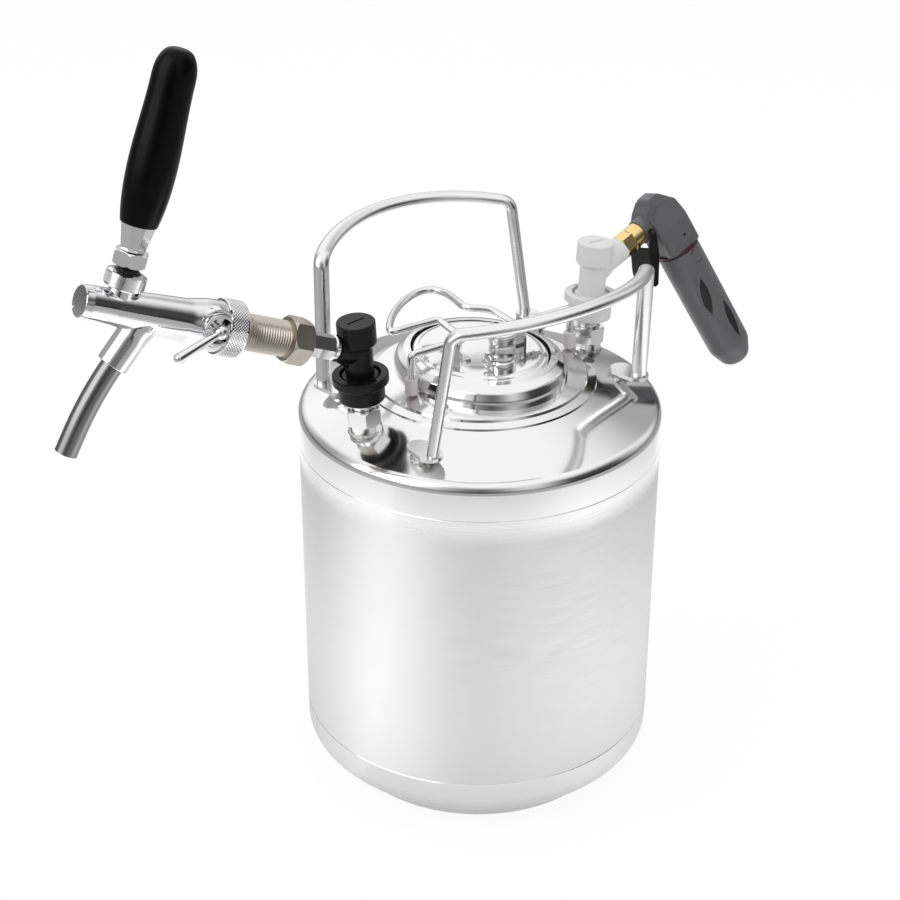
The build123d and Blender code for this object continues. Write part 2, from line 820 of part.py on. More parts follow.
def spout_frame():
    """Z runs down the spout socket from the tap's middle."""
    down = TAP.x_dir * math.sin(SPOUT_LEAN) - TAP.z_dir * math.cos(SPOUT_LEAN)
    end = spot(TAP, 162.5, 0, -35.0)
    return Plane(origin=end - down * 40.0, x_dir=TAP.y_dir, z_dir=down)


def faucet_body():
    """Cast faucet body with bonnet boss, spout socket and flow-control cup."""
    body = TAP_LINE * turned([
        (0, BODY_BACK),
        (NUT_RECESS - 0.15, BODY_BACK),
        (NUT_RECESS - 0.15, 105.0),
        (15.5, 114.0, 25.0),
        (13.4, 126.0, 25.0),
        (12.3, 149.0, 60.0),
        (10.8, 174.0, 60.0),
        (10.4, PLUG_PLACE),
        (0, PLUG_PLACE),
    ])
    boss = turned([(0, 0), (8.0, 0), (8.0, 13.0), (0, 13.0)])
    body += Plane(origin=spot(TAP, BONNET_PLACE, 0, 0), x_dir=TAP.x_dir, z_dir=TAP.z_dir) * boss
    socket = turned([
        (0, 2.0),
        (11.6, 2.0),
        (11.2, 12.0, 10.0),
        (9.9, 19.0, 20.0),
        (9.9, 40.0, 0.7),
        (0, 40.0),
    ])
    body += spout_frame() * socket
    body += flow_frame() * flow_cup()
    nut_front = NUT_PLACE + NUT_LENGTH + 0.2
    body -= TAP_LINE * disc(25.0, NUT_PLACE, BODY_BACK)
    body -= TAP_LINE * (disc(25.0, NUT_PLACE, nut_front) - disc(NUT_RECESS - 0.15, NUT_PLACE, nut_front))
    body -= TAP_LINE * disc(CHAMBER, BODY_BACK - 1, SEAT_PLACE)
    body -= TAP_LINE * disc(SPOOL_BORE, SEAT_PLACE - 1, 184.0)
    body -= TAP_LINE * disc(7.1, 184.0, PLUG_PLACE + 1)
    body -= spout_frame() * disc(4.6, 3.0, 28.0)
    body -= spout_frame() * disc(SPOUT_OUTER + 0.03, 27.9, 41.0)
    body -= TAP * (Pos(167.2, 0, 8.0) * Box(13.4, 6.8, 14.0))
    body -= flow_frame() * disc(8.3, 10.5, 20.0)
    return body - flow_frame() * disc(3.1, 2.0, 12.0)


def flow_frame():
    """Z runs out of the flow-control cup, to the camera-side flank of the tap."""
    return Plane(origin=spot(TAP, FLOW_PLACE, 0, FLOW_HEIGHT), x_dir=TAP.x_dir, z_dir=TAP.y_dir)


def flow_cup():
    cup = turned([
        (0, 9.6),
        (9.8, 9.6),
        (9.8, 3.0),
        (12.6, 3.0),
        (12.6, 13.2, 0.6),
        (10.6, 13.2),
        (10.2, 14.0),
        (10.2, CUP_EDGE, 0.6),
        (0, CUP_EDGE),
    ])
    for turn in range(12):
        cup -= Rot(0, 0, turn * 30) * (Pos(12.9, 0, 11.0) * Box(1.4, 1.6, 5.0))
    return cup


def front_plug():
    """Slotted plug that closes the front of the faucet."""
    plug = turned([
        (0, 185.0),
        (7.0, 185.0),
        (7.0, PLUG_PLACE),
        (10.4, PLUG_PLACE),
        (9.8, BODY_FRONT - 0.4),
        (9.4, BODY_FRONT),
        (0, BODY_FRONT),
    ])
    slot = Rot(0, 0, 45) * (Pos(0, 0, BODY_FRONT) * Box(30.0, 1.3, 2.4))
    return TAP_LINE * (plug - slot)


def tap_shaft():
    """Shaft the lever's finger moves: seal head, rod and guided spool."""
    shaft = turned([
        (0, 130.4),
        (6.4, 130.4),
        (6.4, 133.0),
        (3.2, 135.0),
        (3.2, 157.0),
        (5.42, 158.4),
        (5.42, 182.0),
        (0, 182.0),
    ])
    shaft = TAP_LINE * shaft
    slot = Pos(169.9, 0, 1.5) * Box(6.3, 6.6, 9.0)
    rod_room = Pos(171.9, 0, 4.0) * Box(6.3, 6.6, 4.4)
    return shaft - TAP * slot - TAP * rod_room


def seat_seal():
    """Rubber ring on the shaft's head that closes the seat."""
    ring = turned([
        (6.4, 130.6),
        (7.6, 130.6),
        (7.6, SEAT_PLACE - 0.1),
        (3.2, SEAT_PLACE - 0.1),
        (3.2, 135.0),
        (6.4, 133.0),
    ])
    return TAP_LINE * ring


def bonnet():
    """Knurled bonnet nut that holds the lever's ball."""
    ring = turned([
        (6.6, 13.0),
        (11.4, 13.0),
        (12.0, 13.8),
        (12.0, 21.8),
        (9.8, 22.9),
        (0, 22.9),
        (0, 18.0),
        (6.6, 18.0),
    ])
    ball_room = Pos(0, 0, PIVOT_HEIGHT) * Sphere(BALL_SEAL_RADIUS + 0.3)
    ring -= ball_room & disc(12.0, 14.1, 30.0)
    ring -= disc(9.5, 14.0, 18.0)
    return Plane(origin=spot(TAP, BONNET_PLACE, 0, 0), x_dir=TAP.x_dir, z_dir=TAP.z_dir) * ring


def lever_ball():
    """Black friction ball the lever rocks on."""
    ball = Sphere(BALL_SEAL_RADIUS) & disc(12.0, 0.1, 7.6)
    return LEVER * (ball - disc(3.0, -5.0, 10.0))


def tap_lever():
    """Lever rod from the shaft's slot up into the grip."""
    rod = turned([
        (0, -FINGER_LENGTH + 1.0),
        (2.2, -FINGER_LENGTH + 1.0),
        (2.2, -1.5),
        (3.0, -0.5),
        (3.0, 60.0),
        (0, 60.0),
    ])
    return LEVER * (rod + Pos(0, 0, -FINGER_LENGTH) * Sphere(2.9))


def handle_lock_nut():
    """Nut that locks the grip on the lever."""
    nut = hexagon(19.0, 8.9, 17.6, 1.3)
    return LEVER * (nut - disc(3.0, 8.0, 18.0))


def handle_ferrule():
    """Fluted chrome ferrule below the grip."""
    low = Pos(0, 0, 18.0) * RegularPolygon(radius=7.5, side_count=8)
    high = Pos(0, 0, GRIP_START) * RegularPolygon(radius=10.9, side_count=8)
    cone = loft([low, high], ruled=True)
    return LEVER * (cone - disc(3.0, 17.0, 35.0))


def tap_grip():
    """Black grip, thickest below the middle, with a rounded top."""
    belly = Spline(
        (11.1, 0, GRIP_START),
        (13.5, 0, 49.6),
        (14.2, 0, 80.0),
        (12.7, 0, 116.9),
        (11.4, 0, 129.5),
        (8.0, 0, 135.4),
        (0, 0, GRIP_END),
        tangents=[(0.22, 0, 1), (-1, 0, 0)],
    )
    edges = [
        belly,
        Line((0, 0, GRIP_END), (0, 0, 60.0)),
        Line((0, 0, 60.0), (3.0, 0, 60.0)),
        Line((3.0, 0, 60.0), (3.0, 0, GRIP_START)),
        Line((3.0, 0, GRIP_START), (11.1, 0, GRIP_START)),
    ]
    return LEVER * revolve(make_face(edges), axis=Axis.Z)


def spout_tube():
    """Stainless spout: straight, a gentle bend, straight end."""
    down = Vector(math.sin(SPOUT_LEAN), 0, -math.cos(SPOUT_LEAN))
    start = Vector(162.5, 0, -35.0) - down * 12.0
    corners = [tuple(start), (170.17, 0, -57.92), (174.0, 0, -94.0)]
    outer = rod_along(corners, [215.0], SPOUT_OUTER)
    inner = rod_along(corners, [215.0], SPOUT_INNER)
    return TAP * (outer - inner)


def flow_lever():
    """Ball, side rod and the crank pin that shifts the compensator."""
    centre_height = KNOB_HEIGHT
    heading = Vector(
        math.cos(FLOW_FLARE) * math.cos(FLOW_DIRECTION),
        -math.cos(FLOW_FLARE) * math.sin(FLOW_DIRECTION),
        math.sin(FLOW_FLARE),
    )
    rod_frame = Plane(origin=(0, 0, centre_height), z_dir=heading)
    rod = turned([(0, 2.0), (2.3, 2.0), (2.6, 12.0), (3.3, 31.0), (3.3, 36.0, 2.6), (0, 36.0)])
    knob = Pos(0, 0, centre_height) * Sphere(4.5) + rod_frame * rod
    stem = disc(3.0, 6.9, centre_height)
    crank = Pos(0, CRANK, 0) * disc(1.2, 2.0, 7.5)
    web = disc(3.0, 6.4, 7.6) + Pos(0, CRANK / 2, 7.0) * Box(2.4, CRANK, 1.2)
    return flow_frame() * (knob + stem + web + crank)


def flow_compensator():
    """Cone that throttles the beer behind the seat."""
    cone = turned([
        (0, 102.5),
        (8.93, 102.5),
        (8.93, 104.7),
        (6.0, 105.0),
        (5.6, 114.0),
        (3.6, 119.0),
        (0, 119.0),
    ])
    for turn in range(4):
        cone -= Rot(0, 0, 45 + turn * 90) * (Pos(8.9, 0, 105.0) * Cylinder(2.2, 12.0))
    cone = TAP_LINE * cone
    return cone - TAP * (Pos(FLOW_PLACE, 5.2, FLOW_HEIGHT - CRANK + 0.4) * Box(2.9, 7.4, 4.4))


# ---- charger -------------------------------------------------------------------------------------
def brass_nut():
    nut = hexagon(15.4, 28.0, 38.0, 1.0) + disc(8.3, 37.0, 45.8)
    nut -= disc(5.5, 27.0, 37.0)
    return FEED_LINE * (nut - disc(3.6, 36.0, 47.0))


def side_taper(grow):
    """Wedge that narrows the charger head toward its top."""
    corners = [
        (-13.6 - grow, -27.0),
        (13.6 + grow, -27.0),
        (12.0 + grow, -8.0),
        (6.2 + grow, 18.5),
        (-6.2 - grow, 18.5),
        (-12.0 - grow, -8.0),
    ]
    return Rot(0, 0, 90) * plate(corners, 40.0)


def charger_head():
    """Grey head: nose with the gas boss, block with a raised side panel, screwed spigot."""
    block = plate([
        (-11.0, -27.0),
        (-11.6, -9.0),
        (-11.6, 6.0, 4.0),
        (-3.4, 16.8, 5.0),
        (5.6, 16.8, 3.0),
        (15.2, 6.0, 3.0),
        (17.2, -14.0, 4.0),
        (16.8, -27.0),
    ], 20.0)
    block = block & side_taper(0)
    block = block & (Pos(SLEEVE_X, 0, 0) * disc(17.5, -27.0, 20.0))
    panel_edge = [
        (-10.4, 1.0, 2.0),
        (-2.5, 9.0, 3.0),
        (5.0, 8.5, 3.0),
        (11.5, 0.0, 3.0),
        (13.0, -23.0, 2.0),
        (-9.5, -23.0, 2.0),
    ]
    panel = plate(panel_edge, 20.0)
    panel = panel & side_taper(0.6)
    panel = panel & (Pos(SLEEVE_X, 0, 0) * disc(17.2, -27.0, 20.0))
    nose_edge = [
        (-17.4, -7.0, 2.0),
        (-17.4, 3.0, 4.0),
        (-10.8, 10.0, 5.0),
        (-4.0, 14.8),
        (-5.0, -9.0),
        (-16.0, -9.0, 2.0),
    ]
    nose = plate(nose_edge, 9.0)
    boss = Rot(0, 90, 0) * disc(9.2, -18.4, -8.0)
    head = block + panel + nose + boss
    head += Pos(SLEEVE_X, 0, 0) * disc(13.0, -36.5, -26.0)
    head -= Pos(SLEEVE_X, 0, 0) * disc(11.3, -37.0, -29.0)
    head -= Pos(SLEEVE_X, 0, 0) * disc(5.4, -30.0, -13.0)
    head += Pos(SLEEVE_X, 0, 0) * turned([(0, -12.0), (0.9, -12.0), (0.9, -18.5), (0, -20.5)])
    head += Rot(0, 90, 0) * disc(3.5, -26.5, -18.0)
    head -= Rot(0, 90, 0) * disc(1.6, -27.0, 1.5)
    head -= Pos(SLEEVE_X, 0, 0) * (disc(2.6, -13.5, 1.0) - disc(1.2, -14.0, 2.0))
    for side in (-1, 1):
        head -= Pos(TRIGGER_PIVOT[0], side * 8.0, TRIGGER_PIVOT[1]) * (Rot(90, 0, 0) * Cylinder(1.6, 4.0))
        head -= Pos(5.5, side * 13.0, -18.0) * (Rot(90, 0, 0) * Cylinder(1.1, 3.4))
    head -= Rot(0, 90, 0) * (Pos(20.0, 0, 0) * disc(2.65, 9.5, 30.0))
    return CHARGER * head


def trigger_pins():
    pins = []
    for side in (-1, 1):
        pin = Pos(TRIGGER_PIVOT[0], side * 8.75, TRIGGER_PIVOT[1]) * (Rot(90, 0, 0) * Cylinder(1.6, 5.5))
        pins.append(CHARGER * pin)
    return Compound(children=pins)


def trigger():
    """Black channel-shaped trigger under the brass nut."""
    flange = [
        (-17.4, 0.8, 2.0),
        (-17.6, -4.0, 3.0),
        (-24.0, -10.4, 3.0),
        (-31.0, -24.0, 8.0),
        (-35.0, -35.0, 1.5),
        (-30.6, -35.0, 1.5),
        (-18.5, -18.5, 8.0),
        (-13.8, -7.0, 4.0),
        (-12.1, 0.8, 2.0),
    ]
    outer = plate(flange, TRIGGER_SPAN + TRIGGER_SHEET)
    inner = plate([
        (-40.0, 5.0),
        (-40.0, -9.8),
        (-22.4, -9.8),
        (-23.0, -11.2),
        (-29.9, -24.3),
        (-33.8, -34.6),
        (-33.0, -40.0),
        (-5.0, -40.0),
        (-5.0, 5.0),
    ], TRIGGER_SPAN)
    channel = outer - inner
    pivot = Pos(TRIGGER_PIVOT[0], 0, TRIGGER_PIVOT[1]) * (Rot(90, 0, 0) * Cylinder(1.66, 30.0))
    return CHARGER * (channel - pivot)


def safety_button():
    """Red push button on the back of the head."""
    button = turned([(0, 12.0), (2.55, 12.0), (2.55, 21.4, 1.6), (0, 21.4)])
    return CHARGER * (Rot(0, 90, 0) * (Pos(20.0, 0, 0) * button))


def seal_ring():
    """Dark ring between head and sleeve."""
    ring = turned([(13.0, -29.4), (15.3, -29.4), (15.3, -27.0), (13.0, -27.0)])
    return CHARGER * (Pos(SLEEVE_X, 0, 0) * ring)


def sleeve_shape(inset):
    """Corners of the sleeve's outside from its mouth to its round end."""
    return [
        (SLEEVE_RADIUS - inset, SLEEVE_TOP),
        (15.4 - inset, -75.0, 200.0),
        (15.2 - inset, -113.0, 14.0 - inset),
        (9.0, SLEEVE_END + inset, 9.0 - inset / 2),
        (0, SLEEVE_END + inset),
    ]


def leaf(angle, height, twist):
    """Leaf-shaped grip insert as a solid that reaches through the sleeve's skin."""
    half = 15.3
    bulge = 3.3
    right = ThreePointArc((0, 0, half), (bulge, 0, 0), (0, 0, -half))
    left = ThreePointArc((0, 0, -half), (-bulge, 0, 0), (0, 0, half))
    blank = extrude(make_face([right, left]), amount=30.0, dir=(0, -1, 0))
    blank = Rot(0, twist, 0) * blank
    return Rot(0, 0, angle + 90) * (Pos(0, 0, height) * blank)


LEAVES = [(-115.0, -66.0, 10.0), (-78.0, -91.0, 4.0), (65.0, -66.0, 10.0), (102.0, -91.0, 4.0)]


def sleeve_inserts():
    """Black soft inserts in the sleeve's skin."""
    skin = turned(sleeve_shape(0.15) + [(0, SLEEVE_TOP)]) - turned(sleeve_shape(1.1) + [(0, SLEEVE_TOP)])
    inserts = []
    for angle, height, twist in LEAVES:
        inserts.extend((skin & leaf(angle, height, twist)).solids())
    return Compound(children=[CHARGER * (Pos(SLEEVE_X, 0, 0) * insert) for insert in inserts])


def cartridge_sleeve():
    """Grey sleeve that screws the cartridge home."""
    sleeve = turned(sleeve_shape(0) + [(0, SLEEVE_TOP)])
    shallow = sleeve - turned(sleeve_shape(1.1) + [(0, SLEEVE_TOP)])
    for angle, height, twist in LEAVES:
        sleeve -= shallow & leaf(angle, height, twist)
    groove = Rot(0, 90, 0) * (Cylinder(5.6, 1.6) - Cylinder(4.9, 2.0))
    medal = Rot(0, 0, -80.0) * (Pos(SLEEVE_RADIUS, 0, -35.5) * groove)
    sleeve -= medal
    sleeve -= disc(13.1, -37.0, -29.0)
    sleeve -= turned([(0, -30.0), (11.3, -30.0), (11.3, -112.0, 5.0), (5.0, -118.0), (0, -118.0)])
    return CHARGER * (Pos(SLEEVE_X, 0, 0) * sleeve)


def co2_cartridge():
    """Steel gas cartridge, neck up, its cap pierced."""
    steel = turned([
        (0, -21.3),
        (4.4, -21.3, 0.6),
        (4.4, -30.0, 2.0),
        (CARTRIDGE_RADIUS, -42.0, 8.0),
        (CARTRIDGE_RADIUS, -112.0, 9.0),
        (0, -114.0),
    ])
    steel -= turned([(0, -30.0), (3.0, -30.0), (9.5, -43.0), (9.5, -104.0), (5.0, -109.0), (0, -109.0)])
    steel -= disc(1.3, -31.0, -20.0)
    return CHARGER * (Pos(SLEEVE_X, 0, 0) * steel)


# ---- all pieces ----------------------------------------------------------------------------------
def main():
    handle_bar = handle()
    pieces = {
        "keg_wall": keg_wall(),
        "top_dome": top_dome(),
        "bottom_head": bottom_head(),
        "foot_ring": foot_ring(),
        "hatch_collar": hatch_collar(),
        "lid": lid(),
        "lid_gasket": lid_gasket(),
        "lid_lugs": lid_lugs(),
        "relief_valve_body": relief_valve_body(),
        "relief_valve_stem": relief_valve_stem(),
        "relief_valve_spring": VALVE * coil(4.1, 0.5, 310.1, 317.3, 3.5),
        "relief_pull_ring": relief_pull_ring(),
        "bail_wire": bail_wire(),
        "bail_feet": bail_feet(),
        "front_handle": Pos(FRONT_SHIFT, 0, 0) * (Rot(0, 0, 180) * handle_bar),
        "rear_handle": Pos(REAR_SHIFT, 0, 0) * handle_bar,
        "handle_studs": handle_studs(),
        "liquid_post": LIQUID * post(),
        "gas_post": GAS * post(),
        "post_seals": post_seals(),
        "liquid_dip_tube": LIQUID * dip_tube(-265.0),
        "gas_dip_tube": GAS * dip_tube(-40.0),
        "liquid_poppet": LIQUID * poppet(),
        "gas_poppet": GAS * poppet(),
        "liquid_disconnect_body": disconnect_body(LIQUID, TAP, LIQUID_OUTLET),
        "liquid_disconnect_cap": LIQUID * disconnect_cap(),
        "liquid_disconnect_collar": LIQUID * disconnect_collar(),
        "liquid_locking_balls": LIQUID * locking_balls(),
        "liquid_disconnect_pin": LIQUID * disconnect_pin(),
        "gas_disconnect_body": disconnect_body(GAS, FEED, GAS_OUTLET),
        "gas_disconnect_cap": GAS * disconnect_cap(),
        "gas_disconnect_collar": GAS * disconnect_collar(),
        "gas_locking_balls": GAS * locking_balls(),
        "gas_disconnect_pin": GAS * disconnect_pin(),
        "swivel_nut": swivel_nut(),
        "tap_shank": tap_shank(),
        "coupling_nut": coupling_nut(),
        "faucet_body": faucet_body(),
        "front_plug": front_plug(),
        "tap_shaft": tap_shaft(),
        "seat_seal": seat_seal(),
        "bonnet": bonnet(),
        "lever_ball": lever_ball(),
        "tap_lever": tap_lever(),
        "handle_lock_nut": handle_lock_nut(),
        "handle_ferrule": handle_ferrule(),
        "tap_grip": tap_grip(),
        "spout_tube": spout_tube(),
        "flow_lever": flow_lever(),
        "flow_compensator": flow_compensator(),
        "brass_nut": brass_nut(),
        "charger_head": charger_head(),
        "trigger_pins": trigger_pins(),
        "trigger": trigger(),
        "safety_button": safety_button(),
        "seal_ring": seal_ring(),
        "cartridge_sleeve": cartridge_sleeve(),
        "sleeve_inserts": sleeve_inserts(),
        "co2_cartridge": co2_cartridge(),
    }
    for name, piece in pieces.items():
        export_step(piece, f"parts/{name}.step")


main()
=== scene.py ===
import bpy
import math
from mathutils import Matrix, Vector


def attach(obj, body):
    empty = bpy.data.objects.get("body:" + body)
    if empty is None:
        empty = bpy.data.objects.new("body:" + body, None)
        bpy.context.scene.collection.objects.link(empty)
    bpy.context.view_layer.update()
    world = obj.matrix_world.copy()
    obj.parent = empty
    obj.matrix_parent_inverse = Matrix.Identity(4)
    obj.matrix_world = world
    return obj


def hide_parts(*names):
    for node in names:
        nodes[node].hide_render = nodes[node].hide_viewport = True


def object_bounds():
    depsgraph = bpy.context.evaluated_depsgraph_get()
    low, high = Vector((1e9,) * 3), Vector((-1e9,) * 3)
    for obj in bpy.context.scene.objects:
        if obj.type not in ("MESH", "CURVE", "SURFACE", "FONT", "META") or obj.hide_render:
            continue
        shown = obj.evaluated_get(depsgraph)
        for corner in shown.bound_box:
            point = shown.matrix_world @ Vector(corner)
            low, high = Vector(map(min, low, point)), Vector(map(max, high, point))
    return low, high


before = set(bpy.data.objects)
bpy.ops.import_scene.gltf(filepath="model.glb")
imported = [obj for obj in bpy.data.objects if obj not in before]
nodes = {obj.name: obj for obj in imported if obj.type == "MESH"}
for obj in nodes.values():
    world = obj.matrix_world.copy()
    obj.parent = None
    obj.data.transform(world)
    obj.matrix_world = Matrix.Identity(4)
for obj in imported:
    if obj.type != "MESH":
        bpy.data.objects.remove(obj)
cad_low, cad_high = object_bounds()
scene = bpy.context.scene
MM = 0.001
FULL_TURN = 2 * math.pi
EVENLY = (1, 1, 1)


# ---- Helpers for materials ----------------------------------------------------------------------
def material_start(name):
    """New material, its node tree and its shader."""
    material = bpy.data.materials.new(name)
    material.use_nodes = True
    tree = material.node_tree
    return material, tree, tree.nodes["Principled BSDF"]


def dress(material, *names):
    """Gives the material to CAD nodes."""
    for name in names:
        slots = nodes[name].data.materials
        slots.clear()
        slots.append(material)


def plug(tree, value, socket):
    """Gives a socket another socket's value, a number or, where it takes a colour, a grey."""
    if isinstance(value, bpy.types.NodeSocket):
        tree.links.new(value, socket)
    elif socket.type == "RGBA":
        socket.default_value = (value, value, value, 1)
    else:
        socket.default_value = value


def calculate(tree, operation, first, second):
    """Math node on two numbers or sockets."""
    node = tree.nodes.new("ShaderNodeMath")
    node.operation = operation
    plug(tree, first, node.inputs[0])
    plug(tree, second, node.inputs[1])
    return node.outputs["Value"]


def blended(tree, share, first, second, blend="MIX"):
    """Two greys or colour sockets, blended by a share of the second."""
    node = tree.nodes.new("ShaderNodeMixRGB")
    node.blend_type = blend
    plug(tree, share, node.inputs["Fac"])
    plug(tree, first, node.inputs["Color1"])
    plug(tree, second, node.inputs["Color2"])
    return node.outputs["Color"]


def stops(tree, value, greys):
    """Ramp of greys, each given as its position on the ramp and its grey."""
    ramp = tree.nodes.new("ShaderNodeValToRGB")
    ramp.color_ramp.interpolation = "B_SPLINE"
    elements = ramp.color_ramp.elements
    while len(elements) > 1:
        elements.remove(elements[0])
    elements[0].position, grey = greys[0]
    elements[0].color = (grey, grey, grey, 1)
    for position, grey in greys[1:]:
        stop = elements.new(position)
        stop.color = (grey, grey, grey, 1)
    tree.links.new(value, ramp.inputs["Fac"])
    return ramp.outputs["Color"]


def spread(tree, value, low, high, start, end, easing="LINEAR"):
    """Maps the range from start to end onto the range from low to high."""
    node = tree.nodes.new("ShaderNodeMapRange")
    node.interpolation_type = easing
    node.inputs["From Min"].default_value = start
    node.inputs["From Max"].default_value = end
    node.inputs["To Min"].default_value = low
    node.inputs["To Max"].default_value = high
    tree.links.new(value, node.inputs["Value"])
    return node.outputs["Result"]


def grain(tree, vector, stretch, scale, detail=3.0):
    """Noise squeezed along each direction as often as the stretch says."""
    mapping = tree.nodes.new("ShaderNodeMapping")
    mapping.inputs["Scale"].default_value = stretch
    tree.links.new(vector, mapping.inputs["Vector"])
    noise = tree.nodes.new("ShaderNodeTexNoise")
    noise.inputs["Scale"].default_value = scale
    noise.inputs["Detail"].default_value = detail
    tree.links.new(mapping.outputs["Vector"], noise.inputs["Vector"])
    return noise.outputs["Fac"]


def bump(tree, shader, value, strength, distance):
    """Small relief of a surface, with its height in metres."""
    node = tree.nodes.new("ShaderNodeBump")
    node.inputs["Strength"].default_value = strength
    node.inputs["Distance"].default_value = distance
    tree.links.new(value, node.inputs["Height"])
    tree.links.new(node.outputs["Normal"], shader.inputs["Normal"])


def part_of(tree, vector, axis):
    """One of the three parts of a vector."""
    split = tree.nodes.new("ShaderNodeSeparateXYZ")
    tree.links.new(vector, split.inputs["Vector"])
    return split.outputs[axis]


def angle_of(tree, vector):
    """Angle round the keg's axis in radians, counted from +X."""
    return calculate(tree, "ARCTAN2", part_of(tree, vector, "Y"), part_of(tree, vector, "X"))


def heading_of(tree, vector):
    """Same angle as a share of a full turn: 0 is -X, 0.25 is -Y, 0.5 is +X and 0.75 is +Y."""
    return calculate(tree, "ADD", calculate(tree, "DIVIDE", angle_of(tree, vector), FULL_TURN), 0.5)


def polished(name, colour, roughness, smear, wave=0.0):
    """Polished metal with faint smears, where the sheet may also be a little wavy."""
    material, tree, shader = material_start(name)
    shader.inputs["Metallic"].default_value = 1.0
    shader.inputs["Base Color"].default_value = (*colour, 1)
    place = tree.nodes.new("ShaderNodeTexCoord")
    smears = grain(tree, place.outputs["Object"], EVENLY, scale=14.0, detail=4.0)
    dulled = spread(tree, smears, low=roughness, high=roughness + smear, start=0.35, end=0.75)
    tree.links.new(dulled, shader.inputs["Roughness"])
    if wave:
        waves = grain(tree, place.outputs["Object"], EVENLY, scale=22.0, detail=1.0)
        bump(tree, shader, waves, strength=wave, distance=0.002)
    return material


def moulded(name, colour, roughness, texture, gloss=0.5):
    """Moulded plastic or rubber with a fine skin texture and unevenly worn gloss."""
    material, tree, shader = material_start(name)
    shader.inputs["Base Color"].default_value = (*colour, 1)
    shader.inputs["Specular IOR Level"].default_value = gloss
    place = tree.nodes.new("ShaderNodeTexCoord")
    skin = grain(tree, place.outputs["Object"], EVENLY, scale=900.0, detail=2.0)
    wear = grain(tree, place.outputs["Object"], EVENLY, scale=60.0, detail=3.0)
    worn = spread(tree, wear, low=roughness - 0.05, high=roughness + 0.06, start=0.35, end=0.7)
    tree.links.new(worn, shader.inputs["Roughness"])
    bump(tree, shader, skin, strength=texture, distance=0.0002)
    return material


# ---- Helpers for pieces -------------------------------------------------------------------------
def frame_at(origin, x_direction, z_direction):
    """Matrix of a frame, given by its origin in millimetres and two directions."""
    z_axis = Vector(z_direction).normalized()
    x_axis = Vector(x_direction)
    x_axis = (x_axis - z_axis * x_axis.dot(z_axis)).normalized()
    turned = Matrix((x_axis, z_axis.cross(x_axis), z_axis)).transposed().to_4x4()
    return Matrix.Translation(Vector(origin) * MM) @ turned


def settle(piece, place, material, body):
    """Puts a piece in its frame, gives it its finish and lets it ride on a body."""
    bpy.ops.object.mode_set(mode="OBJECT")
    bpy.ops.object.select_all(action="DESELECT")
    piece.select_set(True)
    bpy.context.view_layer.objects.active = piece
    piece.matrix_world = place @ piece.matrix_world
    bpy.ops.object.transform_apply()
    piece.data.materials.clear()
    piece.data.materials.append(material)
    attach(piece, body)


def round_line(name, points, order, radius, facets, steps):
    """Round bar along a smooth line through millimetre points. It is left active, as a mesh."""
    curve = bpy.data.curves.new(name, "CURVE")
    curve.dimensions = "3D"
    curve.bevel_depth = radius * MM
    curve.bevel_resolution = facets
    curve.use_fill_caps = True
    curve.resolution_u = steps
    spline = curve.splines.new("NURBS")
    spline.points.add(len(points) - 1)
    for point, (x, y, z) in zip(spline.points, points):
        point.co = (x * MM, y * MM, z * MM, 1)
    spline.order_u = order
    spline.use_endpoint_u = True
    bar = bpy.data.objects.new(name, curve)
    scene.collection.objects.link(bar)
    bpy.ops.object.select_all(action="DESELECT")
    bar.select_set(True)
    bpy.context.view_layer.objects.active = bar
    bpy.ops.object.convert(target="MESH")
    bpy.ops.object.shade_smooth()


# ---- Camera -------------------------------------------------------------------------------------
# It looks down at the keg from the tap's side.
CAMERA_PLACE = Vector((-0.7805, -0.9106, 0.8833))
CAMERA_HEADING = math.radians(50.36)
CAMERA_PITCH = math.radians(28.38)
CAMERA_ROLL = math.radians(0.15)
LENS = 79.38
SENSOR_WIDTH = 36.0
SEES_AS_FAR_AS = 50.0

forward = Vector((
    math.cos(CAMERA_PITCH) * math.cos(CAMERA_HEADING),
    math.cos(CAMERA_PITCH) * math.sin(CAMERA_HEADING),
    -math.sin(CAMERA_PITCH),
))
level_right = forward.cross(Vector((0, 0, 1))).normalized()
level_up = level_right.cross(forward)
right = level_right * math.cos(CAMERA_ROLL) + level_up * math.sin(CAMERA_ROLL)
up = right.cross(forward)
camera_data = bpy.data.cameras.new("camera")
camera_data.lens = LENS
camera_data.sensor_width = SENSOR_WIDTH
camera_data.clip_end = SEES_AS_FAR_AS
camera = bpy.data.objects.new("camera", camera_data)
scene.collection.objects.link(camera)
camera_turn = Matrix((right, up, -forward)).transposed().to_4x4()
camera.matrix_world = Matrix.Translation(CAMERA_PLACE) @ camera_turn
scene.camera = camera
scene.view_settings.view_transform = "Standard"


# ---- Lamps --------------------------------------------------------------------------------------
# Three softboxes. Polished metal mirrors only the first.
def lamp(name, place, target, size, power, mirrored):
    """Softbox that faces a point of the object."""
    light = bpy.data.lights.new(name, "AREA")
    light.shape = "RECTANGLE"
    light.size, light.size_y = size
    light.energy = power
    box = bpy.data.objects.new(name, light)
    scene.collection.objects.link(box)
    box.location = place
    box.rotation_euler = (Vector(target) - Vector(place)).to_track_quat("-Z", "Y").to_euler()
    box.visible_glossy = mirrored


middle = (cad_low + cad_high) / 2
lamp("key_softbox", place=(-2.0, 0.3, 1.6), target=middle, size=(2.0, 2.0), power=17.0, mirrored=True)
lamp("fill_softbox", place=(0.9, -2.0, 1.5), target=middle, size=(1.8, 2.4), power=11.0, mirrored=False)
lamp("top_softbox", place=(0.3, 0.6, 2.4), target=middle, size=(2.4, 1.8), power=11.0, mirrored=False)

